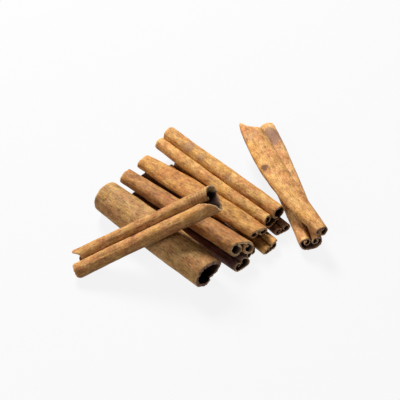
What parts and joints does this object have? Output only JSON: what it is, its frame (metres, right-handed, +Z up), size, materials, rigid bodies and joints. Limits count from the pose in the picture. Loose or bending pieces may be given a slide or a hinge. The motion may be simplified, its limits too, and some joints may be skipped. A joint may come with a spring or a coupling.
{
  "type": "stack of cinnamon sticks",
  "caption": "Loose stack of double-rolled cinnamon bark sticks on a wide bark tube, one stick leaning across, with a crossed pair beside it.",
  "frame": {"origin": "on the ground, under the middle of the stack's bounding box", "axes": "+X to the right along the stack's longest side, +Y towards the sticks' far ends, +Z up"},
  "size_m": [0.1234, 0.1074, 0.0376],
  "materials": {
    "bark_tan": "dry, fibrous, matte",
    "bark_red": "dry, fibrous, matte",
    "bark_ochre": "dry, smooth, matte",
    "bark_brown": "dry, fibrous, matte"
  },
  "bodies": {
    "root": {"quill_wide": "bark_tan", "quill_cross": "bark_tan", "quill_top_left": "bark_red", "quill_top_middle": "bark_ochre", "quill_top_right": "bark_ochre", "quill_base_left": "bark_tan", "quill_base_inner": "bark_brown", "quill_base_middle": "bark_tan", "quill_base_right": "bark_red", "quill_pair_lower": "bark_ochre", "quill_pair_upper": "bark_tan"}
  },
  "joints": []
}
